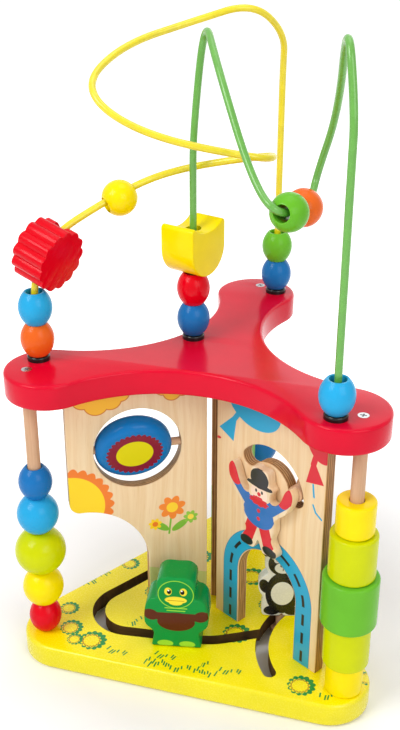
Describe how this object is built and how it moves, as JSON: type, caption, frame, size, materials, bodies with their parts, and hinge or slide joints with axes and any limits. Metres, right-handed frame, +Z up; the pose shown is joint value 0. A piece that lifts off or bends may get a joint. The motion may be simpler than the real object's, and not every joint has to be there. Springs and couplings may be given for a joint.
{
  "type": "bead maze",
  "caption": "Wooden bead maze with a three-cornered base, upright play panels, beaded posts, a lobed top plate and bent wires that carry sliding beads.",
  "frame": {"origin": "centre of the base's underside", "axes": "+Z up along the posts, +Y towards the rear post, +X to the right seen from the front"},
  "size_m": [0.286, 0.257, 0.4966],
  "materials": {
    "base_paint": "yellow lacquer with printed bushes",
    "plate_paint": "red lacquer",
    "bare_wood": "smooth unfinished beech",
    "panel_ply": "plywood with coloured prints",
    "steel": "bright plated steel",
    "yellow_coat": "coated steel wire",
    "green_coat": "coated steel wire",
    "black_plastic": "moulded",
    "disc_paint": "lacquered with a printed sunflower",
    "duck_paint": "green lacquer with a printed face",
    "bear_paint": "white lacquer with black print",
    "jester_paint": "printed costume",
    "orange_paint": "gloss lacquer",
    "sky_paint": "gloss lacquer",
    "blue_paint": "gloss lacquer",
    "red_paint": "gloss lacquer",
    "green_paint": "gloss lacquer",
    "lime_paint": "gloss lacquer",
    "yellow_paint": "gloss lacquer"
  },
  "bodies": {
    "maze_frame": {"base_board": "base_paint", "top_plate": "plate_paint", "left_post": "bare_wood", "right_post": "bare_wood", "rear_post": "bare_wood", "plate_screws": "steel", "base_screws": "steel", "left_panel": "panel_ply", "right_panel": "panel_ply", "rear_panel": "panel_ply", "disc_axle": "bare_wood", "left_wire": "yellow_coat", "right_wire": "green_coat", "wire_collars": "black_plastic"},
    "disc": {"spin_disc": "disc_paint"},
    "duck_figure": {"duck": "duck_paint", "duck_peg": "bare_wood"},
    "bear_figure": {"bear": "bear_paint", "bear_peg": "bare_wood"},
    "jester_figure": {"jester": "jester_paint", "jester_peg": "bare_wood"},
    "left_bead_low": {"left_bead_low": "orange_paint"},
    "left_bead_high": {"left_bead_high": "sky_paint"},
    "middle_bead_low": {"middle_bead_low": "blue_paint"},
    "middle_bead_high": {"middle_bead_high": "red_paint"},
    "rear_bead_low": {"rear_bead_low": "blue_paint"},
    "rear_bead_high": {"rear_bead_high": "green_paint"},
    "right_bead": {"right_bead": "sky_paint"},
    "cog_block": {"cog_block": "red_paint"},
    "moon_block": {"moon_block": "yellow_paint"},
    "strand_ball": {"strand_ball": "yellow_paint"},
    "valley_ball": {"valley_ball": "green_paint"},
    "rise_ball": {"rise_ball": "orange_paint"},
    "left_round_1": {"left_round_1": "red_paint"},
    "left_round_2": {"left_round_2": "yellow_paint"},
    "left_round_3": {"left_round_3": "lime_paint"},
    "left_round_4": {"left_round_4": "sky_paint"},
    "left_round_5": {"left_round_5": "blue_paint"},
    "right_cylinder_1": {"right_cylinder_1": "yellow_paint"},
    "right_cylinder_2": {"right_cylinder_2": "lime_paint"},
    "right_cylinder_3": {"right_cylinder_3": "green_paint"},
    "right_cylinder_4": {"right_cylinder_4": "lime_paint"},
    "right_cylinder_5": {"right_cylinder_5": "yellow_paint"},
    "rear_round_1": {"rear_round_1": "orange_paint"},
    "rear_round_2": {"rear_round_2": "red_paint"},
    "rear_round_3": {"rear_round_3": "blue_paint"},
    "rear_round_4": {"rear_round_4": "green_paint"},
    "rear_round_5": {"rear_round_5": "yellow_paint"}
  },
  "joints": [
    {"name": "disc_spin", "type": "hinge", "parent": "maze_frame", "child": "disc", "pos_m": [-0.05391, -0.03112, 0.18045], "axis": [-0.866, -0.5, 0], "continuous": true},
    {"name": "duck_slide", "type": "slide", "parent": "maze_frame", "child": "duck_figure", "axis": [0.9929, 0.1188, 0], "range_m": [-0.04, 0.014]},
    {"name": "bear_swing", "type": "hinge", "parent": "maze_frame", "child": "bear_figure", "pos_m": [0.12197, -0.02898, 0.02], "axis": [0, 0, 1], "range_deg": [-18, 52]},
    {"name": "jester_swing", "type": "hinge", "parent": "maze_frame", "child": "jester_figure", "pos_m": [0.05499, -0.03175, 0.16457], "axis": [-0.5, -0.866, 0], "range_deg": [0, 50]},
    {"name": "left_bead_low_spin", "type": "hinge", "parent": "maze_frame", "child": "left_bead_low", "pos_m": [-0.12145, -0.05164, 0.27], "axis": [0, 0, 1], "continuous": true},
    {"name": "left_bead_high_spin", "type": "hinge", "parent": "maze_frame", "child": "left_bead_high", "pos_m": [-0.12145, -0.05164, 0.295], "axis": [0, 0, 1], "continuous": true},
    {"name": "cog_spin", "type": "hinge", "parent": "maze_frame", "child": "cog_block", "pos_m": [-0.11338, -0.04181, 0.3337], "axis": [0.3729, 0.4542, 0.8091], "continuous": true},
    {"name": "strand_ball_slide", "type": "slide", "parent": "maze_frame", "child": "strand_ball", "axis": [0.6651, 0.6619, 0.3456], "range_m": [-0.014, 0.004]},
    {"name": "valley_ball_spin", "type": "hinge", "parent": "maze_frame", "child": "valley_ball", "pos_m": [0.06192, -0.04591, 0.38158], "axis": [0.2369, 0.9565, -0.1701], "continuous": true},
    {"name": "rise_ball_spin", "type": "hinge", "parent": "maze_frame", "child": "rise_ball", "pos_m": [0.06599, -0.019, 0.37715], "axis": [0.1073, 0.9942, -0.0044], "continuous": true},
    {"name": "middle_bead_low_slide", "type": "slide", "parent": "maze_frame", "child": "middle_bead_low", "axis": [0, 0, 1], "range_m": [0, 0.01]},
    {"name": "middle_bead_high_slide", "type": "slide", "parent": "middle_bead_low", "child": "middle_bead_high", "axis": [0, 0, 1], "range_m": [0, 0.01]},
    {"name": "moon_block_slide", "type": "slide", "parent": "middle_bead_high", "child": "moon_block", "axis": [0, 0, 1], "range_m": [0, 0.012]},
    {"name": "rear_bead_low_slide", "type": "slide", "parent": "maze_frame", "child": "rear_bead_low", "axis": [0, 0, 1], "range_m": [0, 0.055]},
    {"name": "rear_bead_high_slide", "type": "slide", "parent": "rear_bead_low", "child": "rear_bead_high", "axis": [0, 0, 1], "range_m": [0, 0.055]},
    {"name": "right_bead_slide", "type": "slide", "parent": "maze_frame", "child": "right_bead", "axis": [0, 0, 1], "range_m": [0, 0.15]},
    {"name": "left_round_1_slide", "type": "slide", "parent": "maze_frame", "child": "left_round_1", "axis": [0, 0, 1], "range_m": [0, 0.01]},
    {"name": "left_round_2_slide", "type": "slide", "parent": "left_round_1", "child": "left_round_2", "axis": [0, 0, 1], "range_m": [0, 0.01]},
    {"name": "left_round_3_slide", "type": "slide", "parent": "left_round_2", "child": "left_round_3", "axis": [0, 0, 1], "range_m": [0, 0.012]},
    {"name": "left_round_4_slide", "type": "slide", "parent": "left_round_3", "child": "left_round_4", "axis": [0, 0, 1], "range_m": [0, 0.012]},
    {"name": "left_round_5_slide", "type": "slide", "parent": "left_round_4", "child": "left_round_5", "axis": [0, 0, 1], "range_m": [0, 0.014]},
    {"name": "right_cylinder_1_slide", "type": "slide", "parent": "maze_frame", "child": "right_cylinder_1", "axis": [0, 0, 1], "range_m": [0, 0.008]},
    {"name": "right_cylinder_2_slide", "type": "slide", "parent": "right_cylinder_1", "child": "right_cylinder_2", "axis": [0, 0, 1], "range_m": [0, 0.008]},
    {"name": "right_cylinder_3_slide", "type": "slide", "parent": "right_cylinder_2", "child": "right_cylinder_3", "axis": [0, 0, 1], "range_m": [0, 0.009]},
    {"name": "right_cylinder_4_slide", "type": "slide", "parent": "right_cylinder_3", "child": "right_cylinder_4", "axis": [0, 0, 1], "range_m": [0, 0.009]},
    {"name": "right_cylinder_5_slide", "type": "slide", "parent": "right_cylinder_4", "child": "right_cylinder_5", "axis": [0, 0, 1], "range_m": [0, 0.01]},
    {"name": "rear_round_1_slide", "type": "slide", "parent": "maze_frame", "child": "rear_round_1", "axis": [0, 0, 1], "range_m": [0, 0.01]},
    {"name": "rear_round_2_slide", "type": "slide", "parent": "rear_round_1", "child": "rear_round_2", "axis": [0, 0, 1], "range_m": [0, 0.01]},
    {"name": "rear_round_3_slide", "type": "slide", "parent": "rear_round_2", "child": "rear_round_3", "axis": [0, 0, 1], "range_m": [0, 0.012]},
    {"name": "rear_round_4_slide", "type": "slide", "parent": "rear_round_3", "child": "rear_round_4", "axis": [0, 0, 1], "range_m": [0, 0.012]},
    {"name": "rear_round_5_slide", "type": "slide", "parent": "rear_round_4", "child": "rear_round_5", "axis": [0, 0, 1], "range_m": [0, 0.014]}
  ]
}
